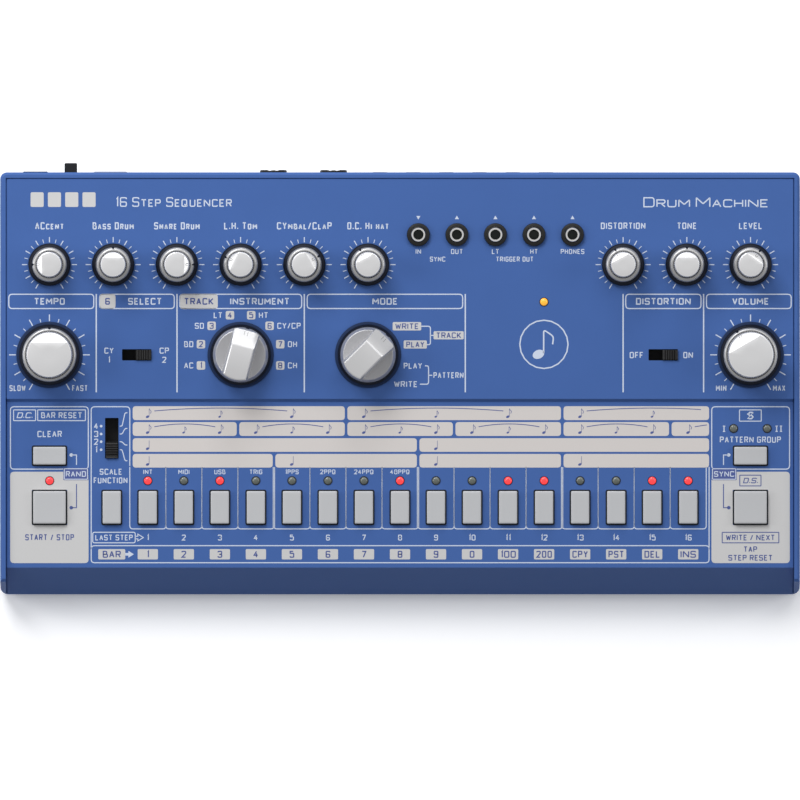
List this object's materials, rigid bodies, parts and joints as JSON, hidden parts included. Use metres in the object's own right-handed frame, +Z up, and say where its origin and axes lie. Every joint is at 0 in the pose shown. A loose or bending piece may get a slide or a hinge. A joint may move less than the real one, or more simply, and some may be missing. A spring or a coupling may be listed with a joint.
{
  "type": "drum machine",
  "caption": "Desktop drum machine: wedge-shaped plastic case with a sloping panel of rotary knobs, slide switches, push buttons, lamps and sockets.",
  "frame": {"origin": "middle of the overall outline in plan, on the table under the feet", "axes": "+X to the user's right, +Y to the rear with the sockets, +Z up"},
  "size_m": [0.305, 0.1656, 0.056],
  "materials": {
    "case_plastic": "fine moulded texture, satin",
    "rubber": "matt",
    "screw_steel": "blackened",
    "board": "solder mask",
    "black_plastic": "satin",
    "can_metal": "plain",
    "knob_metallic": "satin silver paint",
    "button_plastic": "satin",
    "jack_metal": "nickel plate",
    "nut_black": "black",
    "lamp_red_lit": "lit lamp",
    "lamp_clear": "diffused lens",
    "lamp_amber_lit": "lit lamp",
    "ribbon": "grey flat cable"
  },
  "bodies": {
    "case": {"top_case": "case_plastic", "bottom_case": "case_plastic", "rubber_feet": "rubber", "screws": "screw_steel", "panel_board": "board", "button_board": "board", "io_board": "board", "pot_bodies": "can_metal", "rotary_switch_bodies": "black_plastic", "slide_switch_bodies": "can_metal", "panel_jacks": "jack_metal", "jack_nuts": "nut_black", "lit_lamps": "lamp_red_lit", "unlit_lamps": "lamp_clear", "status_lamp": "lamp_amber_lit", "push_switches": "black_plastic", "power_inlet": "black_plastic", "usb_socket": "jack_metal", "din_sockets": "black_plastic", "rear_jacks": "black_plastic", "power_switch_body": "can_metal", "ribbon_cables": "ribbon"},
    "accent_knob": {"accent_knob": "knob_metallic"},
    "bass_drum_knob": {"bass_drum_knob": "knob_metallic"},
    "snare_drum_knob": {"snare_drum_knob": "knob_metallic"},
    "tom_knob": {"tom_knob": "knob_metallic"},
    "cymbal_knob": {"cymbal_knob": "knob_metallic"},
    "hi_hat_knob": {"hi_hat_knob": "knob_metallic"},
    "distortion_knob": {"distortion_knob": "knob_metallic"},
    "tone_knob": {"tone_knob": "knob_metallic"},
    "level_knob": {"level_knob": "knob_metallic"},
    "tempo_knob": {"tempo_knob": "knob_metallic"},
    "volume_knob": {"volume_knob": "knob_metallic"},
    "instrument_selector": {"instrument_selector": "knob_metallic"},
    "mode_selector": {"mode_selector": "knob_metallic"},
    "select_lever": {"select_lever": "black_plastic"},
    "distortion_lever": {"distortion_lever": "black_plastic"},
    "scale_lever": {"scale_lever": "black_plastic"},
    "power_lever": {"power_lever": "black_plastic"},
    "step_button_1": {"step_button_1": "button_plastic"},
    "step_button_2": {"step_button_2": "button_plastic"},
    "step_button_3": {"step_button_3": "button_plastic"},
    "step_button_4": {"step_button_4": "button_plastic"},
    "step_button_5": {"step_button_5": "button_plastic"},
    "step_button_6": {"step_button_6": "button_plastic"},
    "step_button_7": {"step_button_7": "button_plastic"},
    "step_button_8": {"step_button_8": "button_plastic"},
    "step_button_9": {"step_button_9": "button_plastic"},
    "step_button_10": {"step_button_10": "button_plastic"},
    "step_button_11": {"step_button_11": "button_plastic"},
    "step_button_12": {"step_button_12": "button_plastic"},
    "step_button_13": {"step_button_13": "button_plastic"},
    "step_button_14": {"step_button_14": "button_plastic"},
    "step_button_15": {"step_button_15": "button_plastic"},
    "step_button_16": {"step_button_16": "button_plastic"},
    "function_button": {"function_button": "button_plastic"},
    "start_button": {"start_button": "button_plastic"},
    "tap_button": {"tap_button": "button_plastic"},
    "clear_button": {"clear_button": "button_plastic"},
    "group_button": {"group_button": "button_plastic"}
  },
  "joints": [
    {"name": "accent_turn", "type": "hinge", "parent": "case", "child": "accent_knob", "pos_m": [-0.1337, 0.03926, 0.0416], "axis": [0, 0.1392, -0.9903], "range_deg": [-60, 240]},
    {"name": "bass_drum_turn", "type": "hinge", "parent": "case", "child": "bass_drum_knob", "pos_m": [-0.1094, 0.03926, 0.0416], "axis": [0, 0.1392, -0.9903], "range_deg": [-150, 150]},
    {"name": "snare_drum_turn", "type": "hinge", "parent": "case", "child": "snare_drum_knob", "pos_m": [-0.0851, 0.03926, 0.0416], "axis": [0, 0.1392, -0.9903], "range_deg": [-240, 60]},
    {"name": "tom_turn", "type": "hinge", "parent": "case", "child": "tom_knob", "pos_m": [-0.0608, 0.03926, 0.0416], "axis": [0, 0.1392, -0.9903], "range_deg": [-86.5, 213.5]},
    {"name": "cymbal_turn", "type": "hinge", "parent": "case", "child": "cymbal_knob", "pos_m": [-0.0365, 0.03926, 0.0416], "axis": [0, 0.1392, -0.9903], "range_deg": [-210, 90]},
    {"name": "hi_hat_turn", "type": "hinge", "parent": "case", "child": "hi_hat_knob", "pos_m": [-0.0122, 0.03926, 0.0416], "axis": [0, 0.1392, -0.9903], "range_deg": [-122, 178]},
    {"name": "distortion_turn", "type": "hinge", "parent": "case", "child": "distortion_knob", "pos_m": [0.0851, 0.03926, 0.0416], "axis": [0, 0.1392, -0.9903], "range_deg": [-122, 178]},
    {"name": "tone_turn", "type": "hinge", "parent": "case", "child": "tone_knob", "pos_m": [0.1094, 0.03926, 0.0416], "axis": [0, 0.1392, -0.9903], "range_deg": [-150, 150]},
    {"name": "level_turn", "type": "hinge", "parent": "case", "child": "level_knob", "pos_m": [0.1337, 0.03926, 0.0416], "axis": [0, 0.1392, -0.9903], "range_deg": [-184, 116]},
    {"name": "tempo_turn", "type": "hinge", "parent": "case", "child": "tempo_knob", "pos_m": [-0.1337, 0.0052, 0.03681], "axis": [0, 0.1392, -0.9903], "range_deg": [-150, 150]},
    {"name": "volume_turn", "type": "hinge", "parent": "case", "child": "volume_knob", "pos_m": [0.1337, 0.0052, 0.03681], "axis": [0, 0.1392, -0.9903], "range_deg": [-120, 180]},
    {"name": "instrument_select", "type": "hinge", "parent": "case", "child": "instrument_selector", "pos_m": [-0.0608, 0.0052, 0.03681], "axis": [0, 0.1392, -0.9903], "range_deg": [-120, 90]},
    {"name": "mode_select", "type": "hinge", "parent": "case", "child": "mode_selector", "pos_m": [-0.0122, 0.0052, 0.03681], "axis": [0, 0.1392, -0.9903], "range_deg": [0, 90]},
    {"name": "select_slide", "type": "slide", "parent": "case", "child": "select_lever", "axis": [-1, 0, 0], "range_m": [0, 0.0052]},
    {"name": "distortion_slide", "type": "slide", "parent": "case", "child": "distortion_lever", "axis": [-1, 0, 0], "range_m": [0, 0.0052]},
    {"name": "scale_slide", "type": "slide", "parent": "case", "child": "scale_lever", "axis": [0, 0.9903, 0.1392], "range_m": [0, 0.009]},
    {"name": "power_slide", "type": "slide", "parent": "case", "child": "power_lever", "axis": [1, 0, 0], "range_m": [0, 0.004]},
    {"name": "step_1_press", "type": "slide", "parent": "case", "child": "step_button_1", "axis": [0, 0.1392, -0.9903], "range_m": [0, 0.0006], "stiffness_N_per_m": 1500, "springref_m": -0.0004},
    {"name": "step_2_press", "type": "slide", "parent": "case", "child": "step_button_2", "axis": [0, 0.1392, -0.9903], "range_m": [0, 0.0006], "stiffness_N_per_m": 1500, "springref_m": -0.0004},
    {"name": "step_3_press", "type": "slide", "parent": "case", "child": "step_button_3", "axis": [0, 0.1392, -0.9903], "range_m": [0, 0.0006], "stiffness_N_per_m": 1500, "springref_m": -0.0004},
    {"name": "step_4_press", "type": "slide", "parent": "case", "child": "step_button_4", "axis": [0, 0.1392, -0.9903], "range_m": [0, 0.0006], "stiffness_N_per_m": 1500, "springref_m": -0.0004},
    {"name": "step_5_press", "type": "slide", "parent": "case", "child": "step_button_5", "axis": [0, 0.1392, -0.9903], "range_m": [0, 0.0006], "stiffness_N_per_m": 1500, "springref_m": -0.0004},
    {"name": "step_6_press", "type": "slide", "parent": "case", "child": "step_button_6", "axis": [0, 0.1392, -0.9903], "range_m": [0, 0.0006], "stiffness_N_per_m": 1500, "springref_m": -0.0004},
    {"name": "step_7_press", "type": "slide", "parent": "case", "child": "step_button_7", "axis": [0, 0.1392, -0.9903], "range_m": [0, 0.0006], "stiffness_N_per_m": 1500, "springref_m": -0.0004},
    {"name": "step_8_press", "type": "slide", "parent": "case", "child": "step_button_8", "axis": [0, 0.1392, -0.9903], "range_m": [0, 0.0006], "stiffness_N_per_m": 1500, "springref_m": -0.0004},
    {"name": "step_9_press", "type": "slide", "parent": "case", "child": "step_button_9", "axis": [0, 0.1392, -0.9903], "range_m": [0, 0.0006], "stiffness_N_per_m": 1500, "springref_m": -0.0004},
    {"name": "step_10_press", "type": "slide", "parent": "case", "child": "step_button_10", "axis": [0, 0.1392, -0.9903], "range_m": [0, 0.0006], "stiffness_N_per_m": 1500, "springref_m": -0.0004},
    {"name": "step_11_press", "type": "slide", "parent": "case", "child": "step_button_11", "axis": [0, 0.1392, -0.9903], "range_m": [0, 0.0006], "stiffness_N_per_m": 1500, "springref_m": -0.0004},
    {"name": "step_12_press", "type": "slide", "parent": "case", "child": "step_button_12", "axis": [0, 0.1392, -0.9903], "range_m": [0, 0.0006], "stiffness_N_per_m": 1500, "springref_m": -0.0004},
    {"name": "step_13_press", "type": "slide", "parent": "case", "child": "step_button_13", "axis": [0, 0.1392, -0.9903], "range_m": [0, 0.0006], "stiffness_N_per_m": 1500, "springref_m": -0.0004},
    {"name": "step_14_press", "type": "slide", "parent": "case", "child": "step_button_14", "axis": [0, 0.1392, -0.9903], "range_m": [0, 0.0006], "stiffness_N_per_m": 1500, "springref_m": -0.0004},
    {"name": "step_15_press", "type": "slide", "parent": "case", "child": "step_button_15", "axis": [0, 0.1392, -0.9903], "range_m": [0, 0.0006], "stiffness_N_per_m": 1500, "springref_m": -0.0004},
    {"name": "step_16_press", "type": "slide", "parent": "case", "child": "step_button_16", "axis": [0, 0.1392, -0.9903], "range_m": [0, 0.0006], "stiffness_N_per_m": 1500, "springref_m": -0.0004},
    {"name": "function_press", "type": "slide", "parent": "case", "child": "function_button", "axis": [0, 0.1392, -0.9903], "range_m": [0, 0.0006], "stiffness_N_per_m": 1500, "springref_m": -0.0004},
    {"name": "start_press", "type": "slide", "parent": "case", "child": "start_button", "axis": [0, 0.1392, -0.9903], "range_m": [0, 0.0006], "stiffness_N_per_m": 1500, "springref_m": -0.0004},
    {"name": "tap_press", "type": "slide", "parent": "case", "child": "tap_button", "axis": [0, 0.1392, -0.9903], "range_m": [0, 0.0006], "stiffness_N_per_m": 1500, "springref_m": -0.0004},
    {"name": "clear_press", "type": "slide", "parent": "case", "child": "clear_button", "axis": [0, 0.1392, -0.9903], "range_m": [0, 0.0006], "stiffness_N_per_m": 1500, "springref_m": -0.0004},
    {"name": "group_press", "type": "slide", "parent": "case", "child": "group_button", "axis": [0, 0.1392, -0.9903], "range_m": [0, 0.0006], "stiffness_N_per_m": 1500, "springref_m": -0.0004}
  ]
}
